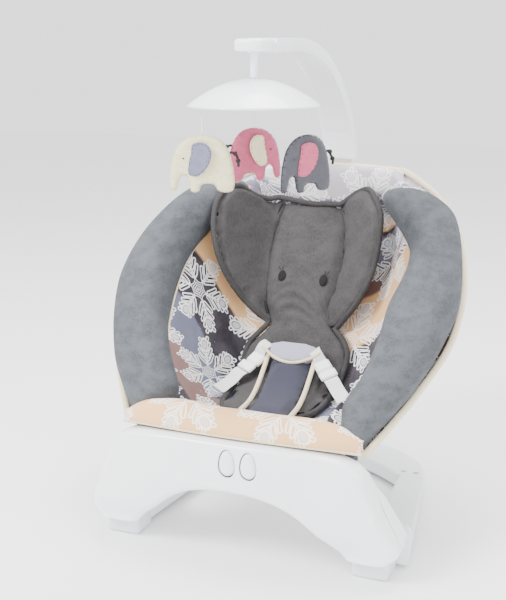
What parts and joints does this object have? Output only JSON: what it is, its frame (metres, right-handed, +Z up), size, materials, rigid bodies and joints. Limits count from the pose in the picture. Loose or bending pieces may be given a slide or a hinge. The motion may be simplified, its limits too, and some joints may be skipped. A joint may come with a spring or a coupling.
{
  "type": "infant bouncer seat",
  "caption": "Infant bouncer: padded reclined bucket seat on sprung wires, flat plastic base with arched front housing, and a lift-off arm with a spinning mobile of hanging felt toys.",
  "frame": {"origin": "on the floor under the middle of the object's box", "axes": "+Z up, the seat faces -Y, +X is the right-hand side seen from the front"},
  "size_m": [0.5324, 0.52, 0.71],
  "materials": {
    "gloss_white": "gloss",
    "button_white": "gloss",
    "satin_white": "satin",
    "foot_white": "satin",
    "grip_rubber": "matte",
    "cell_jacket": "satin",
    "board_green": "satin",
    "speaker_black": "matte",
    "steel": "satin",
    "brass": "satin",
    "printed_fabric": "printed woven",
    "peach_fabric": "printed woven",
    "grey_plush": "short plush",
    "insert_plush": "short plush",
    "slate_fabric": "woven",
    "webbing": "woven",
    "black_cord": "braided",
    "cream_felt": "felt",
    "pink_felt": "felt",
    "grey_felt": "felt"
  },
  "bodies": {
    "base": {"front_cover": "gloss_white", "back_cover": "gloss_white", "battery_box": "satin_white", "cell_1": "cell_jacket", "cell_2": "cell_jacket", "circuit_board": "board_green", "speaker": "speaker_black", "vibration_motor": "steel", "wire_socket_left": "satin_white", "wire_socket_right": "satin_white", "front_foot_left": "foot_white", "front_foot_right": "foot_white", "side_arm_left": "satin_white", "side_arm_right": "satin_white", "rear_foot_left": "grip_rubber", "rear_foot_right": "grip_rubber", "rear_bar": "satin_white", "rear_screw_left_1": "steel", "rear_screw_left_2": "steel", "rear_screw_right_1": "steel", "rear_screw_right_2": "steel"},
    "battery_door": {"battery_door": "satin_white"},
    "eccentric_weight": {"eccentric_weight": "brass"},
    "left_button": {"left_button": "button_white"},
    "right_button": {"right_button": "button_white"},
    "seat": {"seat_shell": "printed_fabric", "rim_tube_left": "steel", "rim_tube_right": "steel", "spring_wire_left": "steel", "spring_wire_right": "steel", "bolster_left": "grey_plush", "bolster_right": "grey_plush", "top_bolster": "printed_fabric", "front_lip": "peach_fabric", "insert_body": "insert_plush", "insert_ear_left": "insert_plush", "insert_ear_right": "insert_plush", "crotch_pad": "slate_fabric", "waist_strap_left": "webbing", "waist_strap_right": "webbing", "buckle_socket_left": "satin_white", "buckle_socket_right": "satin_white", "buckle_plug_left": "satin_white", "buckle_plug_right": "satin_white", "mobile_socket": "satin_white"},
    "mobile_arm": {"mobile_arm": "gloss_white", "arm_rear_cover": "satin_white", "arm_tongue": "satin_white", "arm_head": "gloss_white"},
    "mobile": {"stem": "gloss_white", "dome": "gloss_white", "hook_left": "satin_white", "hook_right": "satin_white", "hook_centre": "satin_white"},
    "toy_left": {"string_left": "black_cord", "toy_left": "cream_felt"},
    "toy_right": {"string_right": "black_cord", "toy_right": "grey_felt"},
    "toy_centre": {"string_centre": "black_cord", "toy_centre": "pink_felt"}
  },
  "joints": [
    {"name": "seat_bounce", "type": "hinge", "parent": "base", "child": "seat", "pos_m": [0, -0.18, 0.14], "axis": [1, 0, 0], "range_deg": [-7, 1], "stiffness_Nm_per_rad": 120, "springref_deg": 1.72},
    {"name": "battery_door_hinge", "type": "hinge", "parent": "base", "child": "battery_door", "pos_m": [-0.09, -0.19, 0.112], "axis": [-1, 0, 0], "range_deg": [0, 100]},
    {"name": "motor_spin", "type": "hinge", "parent": "base", "child": "eccentric_weight", "pos_m": [0.1225, -0.212, 0.15], "axis": [1, 0, 0], "continuous": true},
    {"name": "left_button_press", "type": "slide", "parent": "base", "child": "left_button", "axis": [0, 1, 0], "range_m": [0, 0.0025], "stiffness_N_per_m": 500, "springref_m": -0.001},
    {"name": "right_button_press", "type": "slide", "parent": "base", "child": "right_button", "axis": [0, 1, 0], "range_m": [0, 0.0025], "stiffness_N_per_m": 500, "springref_m": -0.001},
    {"name": "mobile_lift_off", "type": "slide", "parent": "seat", "child": "mobile_arm", "axis": [0, -0.5262, 0.8504], "range_m": [0, 0.045]},
    {"name": "mobile_spin", "type": "hinge", "parent": "mobile_arm", "child": "mobile", "pos_m": [0, -0.157, 0.623], "axis": [0, 0, 1], "continuous": true},
    {"name": "toy_left_swing", "type": "hinge", "parent": "mobile", "child": "toy_left", "pos_m": [-0.04738, -0.21896, 0.6235], "axis": [0.9272, 0.3746, 0], "range_deg": [-15, 15]},
    {"name": "toy_right_swing", "type": "hinge", "parent": "mobile", "child": "toy_right", "pos_m": [0.07735, -0.16705, 0.6235], "axis": [0.4695, 0.8829, 0], "range_deg": [-15, 15]},
    {"name": "toy_centre_swing", "type": "hinge", "parent": "mobile", "child": "toy_centre", "pos_m": [-0.02998, -0.08499, 0.6235], "axis": [0.6157, 0.788, 0], "range_deg": [-15, 15]}
  ]
}
